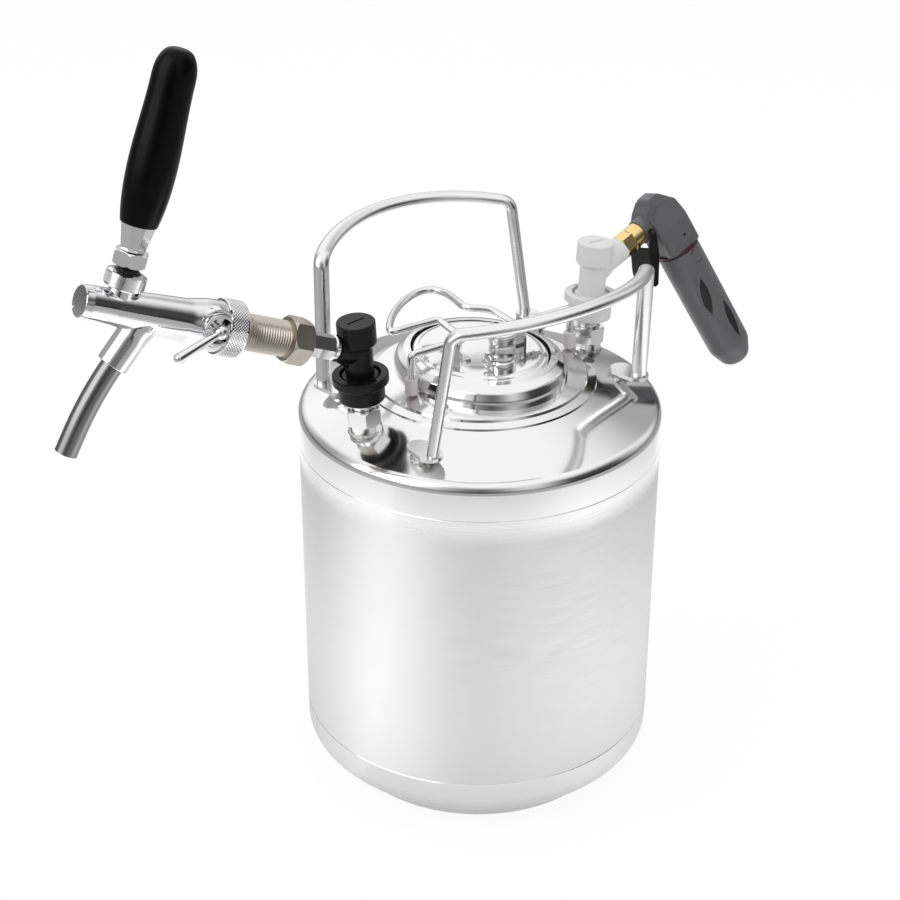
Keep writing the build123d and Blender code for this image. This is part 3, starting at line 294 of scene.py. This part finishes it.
# ---- Light tent ---------------------------------------------------------------------------------
# The tent is bright to the sides and above. It is open behind the camera and dim at its seams, so that
# polished metal shows dark between bright. Dull surfaces get a plain grey light from it, and the
# camera sees plain white. The walls' greys go by heading, and the roof's from level to straight up.
WALL_GREYS = (
    (0.0, 1.0), (0.05, 0.85), (0.09, 0.30), (0.137, 0.08), (0.18, 0.28), (0.22, 0.75), (0.25, 0.50),
    (0.28, 0.20), (0.30, 0.04), (0.385, 0.04), (0.42, 0.30), (0.47, 0.75), (0.50, 0.85), (0.54, 0.30),
    (0.57, 0.35), (0.61, 0.80), (0.65, 1.0), (0.73, 1.0), (0.79, 0.40), (0.86, 0.25), (0.93, 0.90),
)
ROOF_GREYS = ((0.0, 0.30), (0.10, 0.50), (0.26, 1.0), (0.55, 1.0), (1.0, 1.0))
SIDE_GLARE = 1.2
OVERHEAD_GLARE = 1.1
OVERHEAD_FROM = 0.46
OVERHEAD_ABOVE = 0.90
DULL_LIGHT = 0.60

world = bpy.data.worlds.new("light_tent")
scene.world = world
world.use_nodes = True
sky = world.node_tree
direction = sky.nodes.new("ShaderNodeTexCoord").outputs["Generated"]
upward = part_of(sky, direction, "Z")
walls = stops(sky, heading_of(sky, direction), WALL_GREYS)
roof = stops(sky, upward, ROOF_GREYS)
side_light = blended(sky, 1.0, calculate(sky, "MULTIPLY", walls, SIDE_GLARE), roof, blend="MULTIPLY")
overhead = spread(
    sky, upward, low=0.0, high=1.0, start=OVERHEAD_FROM, end=OVERHEAD_ABOVE, easing="SMOOTHSTEP"
)
tent = blended(sky, overhead, side_light, OVERHEAD_GLARE)
ray = sky.nodes.new("ShaderNodeLightPath").outputs
unseen = blended(sky, ray["Is Glossy Ray"], DULL_LIGHT, tent)
shown = blended(sky, ray["Is Camera Ray"], unseen, 1.0)
sky.links.new(shown, sky.nodes["Background"].inputs["Color"])

# ---- Table --------------------------------------------------------------------------------------
# A white table top that runs past the edge of the view. To the camera it glows almost evenly white,
# with a little of the object's shadow. To polished metal it glows with painted reflections, brighter or
# darker by the heading of the place it mirrors. A painted shadow falls where that place is near the
# keg's axis, and the glow is dimmer far from it, with distances in metres.
TABLE_RADIUS = 6.0
TABLE_DROP = 0.0002
TABLE_GREY = 0.80
TABLE_ROUGHNESS = 0.7
# Painted reflections: bright and dark strips that polished metal sees in the table, by heading.
PAINTED_REFLECTION_GREYS = (
    (0.0, 0.94), (0.04, 0.83), (0.10, 0.80), (0.20, 0.81), (0.24, 0.90), (0.285, 1.0), (0.34, 1.0),
    (0.42, 0.80), (0.50, 0.66), (0.53, 0.76), (0.60, 0.85), (0.72, 0.85), (0.80, 0.64), (0.86, 0.76),
    (0.92, 0.90), (0.975, 1.0),
)
# Painted shade in the table's glow to polished metal: a painted shadow near the keg's axis and dimness
# far from it.
PAINTED_SHADE_GREYS = ((0.10, 0.42), (0.20, 0.68), (0.27, 1.0), (0.50, 1.0), (0.66, 0.26), (1.0, 0.26))
MIRROR_GLARE = 1.72
MIRROR_SHARE = 0.80
CAMERA_GLARE = 1.05
CAMERA_SHARE = 0.86

bpy.ops.object.select_all(action="DESELECT")
bpy.ops.mesh.primitive_circle_add(
    vertices=96, radius=TABLE_RADIUS, fill_type="NGON", location=(0, 0, -TABLE_DROP)
)
floor = bpy.context.object
floor.name = "table_top"
bpy.ops.object.transform_apply()
material, tree, shader = material_start("white_table")
plug(tree, TABLE_GREY, shader.inputs["Base Color"])
plug(tree, TABLE_ROUGHNESS, shader.inputs["Roughness"])
spot = tree.nodes.new("ShaderNodeTexCoord").outputs["Object"]
distance = tree.nodes.new("ShaderNodeVectorMath")
distance.operation = "LENGTH"
tree.links.new(spot, distance.inputs[0])
painted_reflection = stops(tree, heading_of(tree, spot), PAINTED_REFLECTION_GREYS)
painted_shade = stops(tree, distance.outputs["Value"], PAINTED_SHADE_GREYS)
ray = tree.nodes.new("ShaderNodeLightPath").outputs
# The table's glow to polished metal is painted light that only glossy rays see.
painted_glow_to_metal = calculate(tree, "MULTIPLY", painted_reflection, painted_shade)
painted_glow_to_metal = calculate(tree, "MULTIPLY", painted_glow_to_metal, MIRROR_GLARE)
painted_glow_to_metal = calculate(tree, "MULTIPLY", painted_glow_to_metal, ray["Is Glossy Ray"])
to_camera = calculate(tree, "MULTIPLY", ray["Is Camera Ray"], CAMERA_GLARE)
glow = tree.nodes.new("ShaderNodeEmission")
plug(tree, 1.0, glow.inputs["Color"])
tree.links.new(calculate(tree, "ADD", painted_glow_to_metal, to_camera), glow.inputs["Strength"])
glowing = calculate(
    tree, "ADD",
    calculate(tree, "MULTIPLY", ray["Is Camera Ray"], CAMERA_SHARE),
    calculate(tree, "MULTIPLY", ray["Is Glossy Ray"], MIRROR_SHARE),
)
lit_table = tree.nodes.new("ShaderNodeMixShader")
tree.links.new(glowing, lit_table.inputs["Fac"])
tree.links.new(shader.outputs["BSDF"], lit_table.inputs[1])
tree.links.new(glow.outputs["Emission"], lit_table.inputs[2])
tree.links.new(lit_table.outputs["Shader"], tree.nodes["Material Output"].inputs["Surface"])
floor.data.materials.append(material)

# ---- Keg wall -----------------------------------------------------------------------------------
# Rolled stainless sheet, 246 mm across, welded to the two pressed ends. Its satin finish is put on
# with an abrasive belt while it turns, so the fine grain runs round it. The top edge is buffed.
WALL_GREY = 0.85
SMOOTHEST = 0.38
ROUGHEST = 0.48
GRAIN_STRETCH = (2.0, 1.0, 900.0)
BUFFED_FROM = 0.232
BUFFED_ABOVE = 0.246
BUFFED_BY = 0.28

material, tree, shader = material_start("satin_wall")
plug(tree, WALL_GREY, shader.inputs["Base Color"])
plug(tree, 1.0, shader.inputs["Metallic"])
plug(tree, 0.8, shader.inputs["Anisotropic"])
plug(tree, 0.25, shader.inputs["Anisotropic Rotation"])
lay = tree.nodes.new("ShaderNodeTangent")
lay.direction_type = "RADIAL"
lay.axis = "Z"
tree.links.new(lay.outputs["Tangent"], shader.inputs["Tangent"])
place = tree.nodes.new("ShaderNodeTexCoord").outputs["Object"]
height = part_of(tree, place, "Z")
unrolled = tree.nodes.new("ShaderNodeCombineXYZ")
tree.links.new(angle_of(tree, place), unrolled.inputs["X"])
tree.links.new(height, unrolled.inputs["Z"])
scratches = grain(tree, unrolled.outputs["Vector"], GRAIN_STRETCH, scale=2.0)
rough = spread(tree, scratches, low=SMOOTHEST, high=ROUGHEST, start=0.3, end=0.7)
buffed = spread(tree, height, low=0.0, high=BUFFED_BY, start=BUFFED_FROM, end=BUFFED_ABOVE)
tree.links.new(calculate(tree, "SUBTRACT", rough, buffed), shader.inputs["Roughness"])
bump(tree, shader, scratches, strength=0.10, distance=0.0004)
dress(material, "keg_wall")

# ---- Pressed ends, foot ring, hatch and small steel pieces --------------------------------------
# Deep-drawn and mirror-polished stainless steel. The buffing wheel leaves the sheet a little wavy, and
# hands leave faint smears.
mirror_steel = polished("mirror_steel", (0.82, 0.82, 0.82), roughness=0.06, smear=0.10, wave=0.05)
dress(mirror_steel, "top_dome", "bottom_head", "foot_ring", "hatch_collar", "lid")
hardware_steel = polished("hardware_steel", (0.80, 0.80, 0.80), roughness=0.10, smear=0.10)
dress(
    hardware_steel, "lid_lugs", "relief_valve_body", "relief_valve_stem", "relief_valve_spring",
    "relief_pull_ring", "handle_studs", "liquid_post", "gas_post", "liquid_dip_tube", "gas_dip_tube",
    "liquid_poppet", "gas_poppet", "liquid_locking_balls", "gas_locking_balls", "trigger_pins",
    "co2_cartridge",
)
seal_rubber = moulded("seal_rubber", (0.02, 0.02, 0.02), roughness=0.5, texture=0.1)
dress(seal_rubber, "lid_gasket", "post_seals", "seat_seal")

# ---- Handles and bail feet ----------------------------------------------------------------------
# Bent stainless bar with a soft polish, and grey-white rubber feet on the bail.
bar_steel = polished("bar_steel", (0.80, 0.80, 0.80), roughness=0.20, smear=0.10)
dress(bar_steel, "front_handle", "rear_handle")
foot_rubber = moulded("foot_rubber", (0.70, 0.66, 0.68), roughness=0.45, texture=0.10)
dress(foot_rubber, "bail_feet")

# ---- Bail wire ----------------------------------------------------------------------------------
# One length of 5 mm stainless wire, bent by hand round pins so that its bends flow into each other.
# Its points lie in the hatch's own frame, which is turned a little about the keg's axis.
WIRE_RADIUS = 2.5
WIRE_LINE = (
    (-60.5, -7, 301.6), (-60.5, -7, 312), (-60.5, -7, 321), (-60.5, -7, 327), (-54, -7, 327),
    (-40, -7, 327), (-26, -7, 327), (-18.5, -7, 327), (-18.8, -1, 328), (-20.5, 11, 331),
    (-21, 18, 332.4), (-28, 18.2, 332.6), (-47, 17, 333.6), (-56, 16, 334), (-60, 18, 334),
    (-57, 24, 334.3), (-46, 37, 335), (-30, 50, 335), (-14, 58.5, 335), (-1, 58.5, 335),
    (4.5, 50, 335), (3.5, 34, 335), (1, 22, 335), (4, 17, 334.8), (11, 11.5, 334.5), (15, 8, 333.8),
    (19.5, -1, 330.3), (22.5, -7, 327.2), (28, -7, 327), (48, -7, 327), (64, -7, 327), (70.5, -7, 327),
    (70.5, -7, 321), (70.5, -7, 311), (70.5, -7, 300.2),
)
HATCH_TURN = math.radians(-4.5)

hatch_place = Matrix.Rotation(HATCH_TURN, 4, "Z")
wire_steel = polished("wire_steel", (0.80, 0.80, 0.80), roughness=0.14, smear=0.08)
round_line("bail_wire_bent", WIRE_LINE, order=3, radius=WIRE_RADIUS, facets=6, steps=8)
settle(bpy.context.object, hatch_place, wire_steel, "bail")
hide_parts("bail_wire")

# A crimped sleeve joins the wire's ends beside the right bracket.
CRIMP_MIDDLE = (38.0, -7.0, 327.0)
CRIMP_RADIUS = 3.4
CRIMP_LENGTH = 7.0
CRIMP_EDGE = 0.5
SHARP_ANGLE = math.radians(30)

bpy.ops.object.select_all(action="DESELECT")
bpy.ops.mesh.primitive_cylinder_add(
    vertices=48, radius=CRIMP_RADIUS * MM, depth=CRIMP_LENGTH * MM, rotation=(0, math.pi / 2, 0),
    location=Vector(CRIMP_MIDDLE) * MM,
)
bpy.ops.object.transform_apply()
crimp = bpy.context.object
crimp.name = "bail_crimp_sleeve"
bpy.ops.object.mode_set(mode="EDIT")
bpy.ops.mesh.bevel(offset=CRIMP_EDGE * MM, segments=3, affect="EDGES")
bpy.ops.object.mode_set(mode="OBJECT")
bpy.ops.object.shade_smooth_by_angle(angle=SHARP_ANGLE)
settle(crimp, hatch_place, wire_steel, "bail")
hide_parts("bail_wire")

# ---- Welds --------------------------------------------------------------------------------------
# Small fillet welds of stainless steel where the handle studs and the two posts meet the dome. Each
# is a ring of overlapping pools.
STUD_FEET = ((-91.5, -49.5), (85.5, -49.5), (-82.0, 49.5), (95.0, 49.5))
STUD_FOOT_HEIGHT = 283.2
STUD_LEAN = math.radians(20.8)
STUD_WELD = 5.9
POST_PLACE = 97.6
POST_FOOT_HEIGHT = 284.0
POST_LEAN = 0.0725
POST_RISE = 0.99737
POST_WELD = 10.4
POOL_SEGMENTS = 4
DRAWN_IN = 0.35


def weld_ring(name, place, radius, thickness, pools):
    """Torus drawn in where one pool meets the next. Radius and thickness are in millimetres."""
    bpy.ops.object.select_all(action="DESELECT")
    bpy.ops.mesh.primitive_torus_add(
        major_radius=radius * MM, minor_radius=thickness * MM,
        major_segments=pools * POOL_SEGMENTS, minor_segments=10,
    )
    ring = bpy.context.object
    ring.name = name
    bpy.ops.object.mode_set(mode="EDIT")
    bpy.ops.mesh.select_all(action="DESELECT")
    bpy.ops.object.mode_set(mode="OBJECT")
    for vertex in ring.data.vertices:
        pool = math.atan2(vertex.co.y, vertex.co.x) / FULL_TURN * pools
        vertex.select = abs(pool - round(pool)) < 0.1
    bpy.ops.object.mode_set(mode="EDIT")
    bpy.ops.transform.shrink_fatten(value=-thickness * DRAWN_IN * MM)
    bpy.ops.object.mode_set(mode="OBJECT")
    bpy.ops.object.shade_smooth()
    settle(ring, place, weld_metal, "keg")


weld_metal = polished("weld_metal", (0.66, 0.65, 0.64), roughness=0.24, smear=0.14, wave=0.2)
for number, (x, y) in enumerate(STUD_FEET):
    away = Vector((x, y, 0)).normalized()
    tilt = away * math.sin(STUD_LEAN) + Vector((0, 0, math.cos(STUD_LEAN)))
    place = frame_at((x, y, STUD_FOOT_HEIGHT), away, tilt)
    weld_ring(f"stud_weld_{number}", place, radius=STUD_WELD, thickness=0.9, pools=14)
for side, name in ((-1, "liquid_post_weld"), (1, "gas_post_weld")):
    foot = (side * POST_PLACE, 0, POST_FOOT_HEIGHT)
    place = frame_at(foot, (1, 0, 0), (side * POST_LEAN, 0, POST_RISE))
    weld_ring(name, place, radius=POST_WELD, thickness=1.0, pools=22)

# ---- Quick disconnects --------------------------------------------------------------------------
# Moulded nylon: black on the liquid post, pale grey on the gas post.
black_nylon = moulded("black_nylon", (0.005, 0.005, 0.005), roughness=0.30, texture=0.12, gloss=0.22)
dress(
    black_nylon, "liquid_disconnect_body", "liquid_disconnect_cap", "liquid_disconnect_collar",
    "liquid_disconnect_pin",
)
grey_nylon = moulded("grey_nylon", (0.77, 0.77, 0.77), roughness=0.34, texture=0.12)
dress(
    grey_nylon, "gas_disconnect_body", "gas_disconnect_cap", "gas_disconnect_collar",
    "gas_disconnect_pin",
)

# ---- Tap ----------------------------------------------------------------------------------------
# Chromed brass faucet on a nickel-plated threaded shank, with a black lacquered grip.
chrome = polished("tap_chrome", (0.80, 0.80, 0.81), roughness=0.05, smear=0.05)
dress(
    chrome, "faucet_body", "front_plug", "bonnet", "handle_lock_nut", "handle_ferrule", "tap_lever",
    "flow_lever", "tap_shaft", "flow_compensator", "swivel_nut", "coupling_nut",
)
warm_nickel = polished("warm_nickel", (0.56, 0.515, 0.455), roughness=0.26, smear=0.12)
dress(warm_nickel, "tap_shank")
spout_steel = polished("spout_steel", (0.29, 0.285, 0.285), roughness=0.20, smear=0.08)
dress(spout_steel, "spout_tube")
grip_lacquer = moulded("grip_lacquer", (0.002, 0.002, 0.002), roughness=0.24, texture=0.03, gloss=0.12)
dress(grip_lacquer, "tap_grip")
ball_plastic = moulded("ball_plastic", (0.012, 0.012, 0.012), roughness=0.35, texture=0.05, gloss=0.3)
dress(ball_plastic, "lever_ball")

# The bonnet and the coupling nut are gripped by hand, so a knurling wheel has rolled rows of small
# diamonds into their rims. The tap's frame is given by where its axis starts and three directions.
TAP_START = (-101.72, 0.0, 340.65)
TAP_FORWARD = (-0.90957, 0.14667, 0.3888)
TAP_UP = (0.38384, -0.06189, 0.92132)
TAP_SIDE = (-0.15919, -0.98725, 0.0)
BONNET_PLACE = 171.3
KNURL_ROOT = 0.15
KNURL_TIP = 1 / 6


def knurled_band(name, place, radius, low, high, count, rows, depth):
    """A zigzag column of diamonds, repeated round the axis. Sizes are in millimetres."""
    width = FULL_TURN * radius / count
    tall = (high - low) / (rows + 1) * 2
    first_height = low + tall / 2
    bpy.ops.object.select_all(action="DESELECT")
    bpy.ops.mesh.primitive_cone_add(
        vertices=4,
        radius1=width / 2 * MM,
        radius2=width / 2 * KNURL_TIP * MM,
        depth=(depth + KNURL_ROOT) * MM,
        rotation=(0, math.pi / 2, 0),
        location=((radius + (depth - KNURL_ROOT) / 2) * MM, 0, first_height * MM),
    )
    bpy.ops.object.transform_apply()
    band = bpy.context.object
    band.name = name
    bpy.ops.object.mode_set(mode="EDIT")
    bpy.ops.transform.resize(value=(1, 1, tall / width), center_override=(0, 0, first_height * MM))
    for row in range(1, rows):
        bpy.ops.mesh.duplicate()
        bpy.ops.transform.translate(value=(0, 0, tall / 2 * MM))
        turn = math.pi / count if row % 2 else -math.pi / count
        bpy.ops.transform.rotate(value=turn, orient_axis="Z", center_override=(0, 0, 0))
    bpy.ops.mesh.select_all(action="SELECT")
    whole = FULL_TURN * (count - 1) / count
    bpy.ops.mesh.spin(steps=count - 1, dupli=True, angle=whole, center=(0, 0, 0), axis=(0, 0, 1))
    settle(band, place, chrome, "tap")


tap_line = frame_at(TAP_START, TAP_SIDE, TAP_FORWARD)
knurled_band("coupling_knurl", tap_line, radius=17.6, low=91.2, high=102.6, count=56, rows=11, depth=0.4)
bonnet_foot = Vector(TAP_START) + Vector(TAP_FORWARD) * BONNET_PLACE
bonnet_line = frame_at(bonnet_foot, TAP_FORWARD, TAP_UP)
knurled_band("bonnet_knurl", bonnet_line, radius=12.0, low=14.2, high=21.4, count=48, rows=9, depth=0.3)

# ---- Gas charger --------------------------------------------------------------------------------
# Grey head and screwed sleeve, brass nut, black trigger, and a red button that locks it.
machined_brass = polished("machined_brass", (0.86, 0.66, 0.30), roughness=0.24, smear=0.10)
dress(machined_brass, "brass_nut")
head_grey = moulded("charger_head_grey", (0.115, 0.115, 0.122), roughness=0.36, texture=0.15)
dress(head_grey, "charger_head")
sleeve_grey = moulded("charger_sleeve_grey", (0.12, 0.12, 0.128), roughness=0.34, texture=0.15)
dress(sleeve_grey, "cartridge_sleeve")
trigger_black = moulded("trigger_black", (0.006, 0.006, 0.006), roughness=0.38, texture=0.10, gloss=0.4)
dress(trigger_black, "trigger")
insert_rubber = moulded("insert_rubber", (0.010, 0.010, 0.010), roughness=0.55, texture=0.10)
dress(insert_rubber, "sleeve_inserts")
ring_red = moulded("seal_ring_red", (0.05, 0.012, 0.016), roughness=0.45, texture=0.10)
dress(ring_red, "seal_ring")
button_red = moulded("button_red", (0.55, 0.02, 0.05), roughness=0.30, texture=0.05)
dress(button_red, "safety_button")

# A thin raised line in the moulding outlines each of the sleeve's two leaves of grip pattern. It is
# given by its angle in degrees round the sleeve and its height on the sleeve's axis in millimetres.
SLEEVE_SHIFT = 3.0
CHARGER_START = (161.137, 0.0, 365.749)
CHARGER_FORWARD = (0.92119, 0.0, 0.38912)
CHARGER_UP = (-0.36814, 0.32392, 0.87152)
GRIP_LINE = (
    (-86, -41.5), (-100, -44), (-122, -52), (-133, -64), (-131, -75), (-117, -84), (-104, -94),
    (-95, -104), (-86, -111), (-70, -112), (-58, -106),
)
LINE_RADIUS = 0.42
LINE_LIFT = 0.1
SLEEVE_TOP = -29.5
SLEEVE_MIDDLE = -75.0
SLEEVE_END = -113.0
SLEEVE_TOP_RADIUS = 15.6
SLEEVE_TAPER = 0.2


def sleeve_radius(height):
    """Radius of the sleeve at a height of its own axis. It narrows as much below its middle as above."""
    upper = (SLEEVE_TOP - height) / (SLEEVE_TOP - SLEEVE_MIDDLE)
    lower = (SLEEVE_MIDDLE - height) / (SLEEVE_MIDDLE - SLEEVE_END)
    return SLEEVE_TOP_RADIUS - SLEEVE_TAPER * min(1.0, upper) - SLEEVE_TAPER * max(0.0, lower)


charger_place = frame_at(CHARGER_START, CHARGER_FORWARD, CHARGER_UP)
sleeve_place = charger_place @ Matrix.Translation((SLEEVE_SHIFT * MM, 0, 0))
for name, turn in (("grip_line_front", 0), ("grip_line_back", 180)):
    points = []
    for angle, height in GRIP_LINE:
        reach = sleeve_radius(height) + LINE_LIFT
        angle = math.radians(angle + turn)
        points.append((reach * math.cos(angle), reach * math.sin(angle), height))
    round_line(name, points, order=4, radius=LINE_RADIUS, facets=2, steps=6)
    settle(bpy.context.object, sleeve_place, sleeve_grey, "sleeve")
